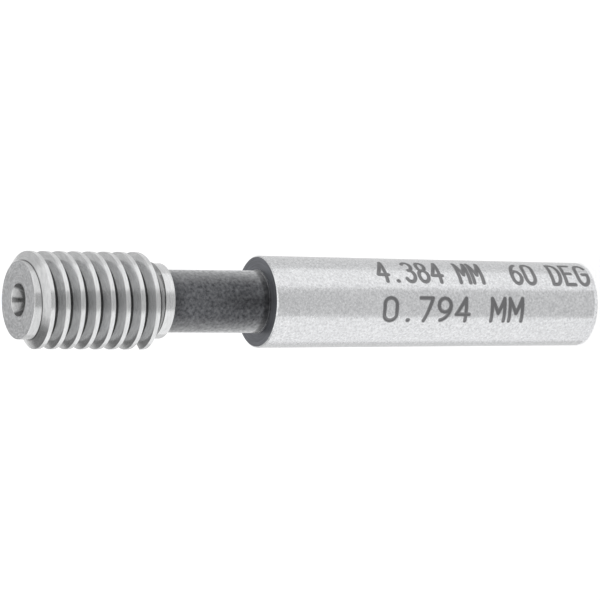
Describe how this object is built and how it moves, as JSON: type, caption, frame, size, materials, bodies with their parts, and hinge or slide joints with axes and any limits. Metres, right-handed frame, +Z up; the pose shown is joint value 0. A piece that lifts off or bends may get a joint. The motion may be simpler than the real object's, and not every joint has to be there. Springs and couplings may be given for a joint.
{
  "type": "thread plug gauge",
  "caption": "Hardened steel thread plug gauge member: a ground right-hand 60 degree thread, a blackened neck and a slim tapered shank that locks into a handle.",
  "frame": {"origin": "centre of the flat small end of the tapered shank, on which the member stands", "axes": "+Z up along the axis from the shank towards the gauging thread; +X is where the thread's angle is counted from"},
  "size_m": [0.0048, 0.0048, 0.0308],
  "materials": {
    "gauge_steel": "hardened tool steel: ground thread and satin shank, with black oxide left on the neck"
  },
  "bodies": {
    "root": {"gauge_member": "gauge_steel"}
  },
  "joints": []
}
